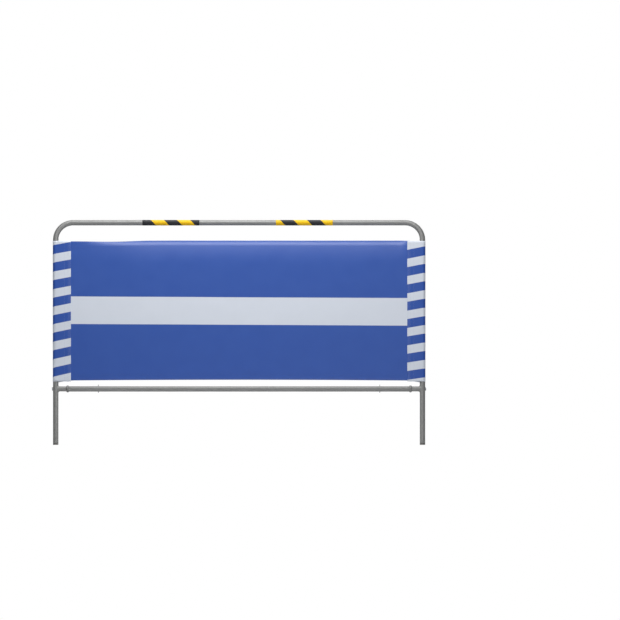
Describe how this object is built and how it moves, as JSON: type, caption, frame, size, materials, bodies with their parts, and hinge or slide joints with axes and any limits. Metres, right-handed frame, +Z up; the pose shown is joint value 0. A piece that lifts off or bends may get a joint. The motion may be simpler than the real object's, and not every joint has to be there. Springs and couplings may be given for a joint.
{
  "type": "folding cloth-covered barricade",
  "caption": "Folding A-frame pipe barricade with a blue and white sheet across the front, striped side bands, hazard tape on the top bar and a hinged rear support frame.",
  "frame": {"origin": "on the ground under the middle of the standing fence", "axes": "+X to the right along the fence seen from its front, +Z up; the front with the sheet faces -Y"},
  "size_m": [1.4976, 0.4146, 0.9009],
  "materials": {
    "galvanised_steel": "galvanised pipe, satin grey with a soft bright line along it",
    "zinc_plated_steel": "bright zinc-plated bolts, nuts and rivets",
    "black_plastic": "moulded black plastic, matt",
    "blue_cloth": "woven coated sheet printed blue with a white band, semi-matt",
    "striped_cloth": "woven coated sheet printed in slanting blue and white stripes, semi-matt",
    "hazard_tape": "glossy adhesive tape in slanting yellow and black stripes"
  },
  "bodies": {
    "front_frame": {"cover_band_left": "striped_cloth", "cover_band_right": "striped_cloth", "cover_panel": "blue_cloth", "front_crossbar": "galvanised_steel", "front_crossbar_bolt_left": "zinc_plated_steel", "front_crossbar_bolt_right": "zinc_plated_steel", "front_crossbar_stub_left": "galvanised_steel", "front_crossbar_stub_right": "galvanised_steel", "front_foot_left": "black_plastic", "front_foot_right": "black_plastic", "front_frame_tube": "galvanised_steel", "hazard_tape_left": "hazard_tape", "hazard_tape_right": "hazard_tape", "hinge_bolt_left": "zinc_plated_steel", "hinge_bolt_right": "zinc_plated_steel", "hinge_bracket_left": "galvanised_steel", "hinge_bracket_right": "galvanised_steel", "hinge_nut_left": "zinc_plated_steel", "hinge_nut_right": "zinc_plated_steel", "spreader_rivet_left": "zinc_plated_steel", "spreader_rivet_right": "zinc_plated_steel", "spreader_tab_left": "galvanised_steel", "spreader_tab_right": "galvanised_steel"},
    "rear_frame": {"rear_crossbar": "galvanised_steel", "rear_crossbar_bolt_left": "zinc_plated_steel", "rear_crossbar_bolt_right": "zinc_plated_steel", "rear_crossbar_stub_left": "galvanised_steel", "rear_crossbar_stub_right": "galvanised_steel", "rear_foot_left": "black_plastic", "rear_foot_right": "black_plastic", "rear_leg_left": "galvanised_steel", "rear_leg_right": "galvanised_steel"},
    "left_spreader": {"spreader_hook_left": "galvanised_steel"},
    "right_spreader": {"spreader_hook_right": "galvanised_steel"}
  },
  "joints": [
    {"name": "rear_frame_fold", "type": "hinge", "parent": "front_frame", "child": "rear_frame", "pos_m": [0, 0.01383, 0.82278], "axis": [-1, 0, 0], "range_deg": [0, 21.5]},
    {"name": "left_spreader_lift", "type": "hinge", "parent": "front_frame", "child": "left_spreader", "pos_m": [-0.5633, -0.12457, 0.224], "axis": [1, 0, 0], "range_deg": [0, 75.5]},
    {"name": "right_spreader_lift", "type": "hinge", "parent": "front_frame", "child": "right_spreader", "pos_m": [0.5633, -0.12457, 0.224], "axis": [1, 0, 0], "range_deg": [0, 75.5]}
  ],
  "couplings": [
    {"joint": "left_spreader_lift", "follows": "rear_frame_fold", "ratio": 3.5},
    {"joint": "right_spreader_lift", "follows": "rear_frame_fold", "ratio": 3.5}
  ]
}
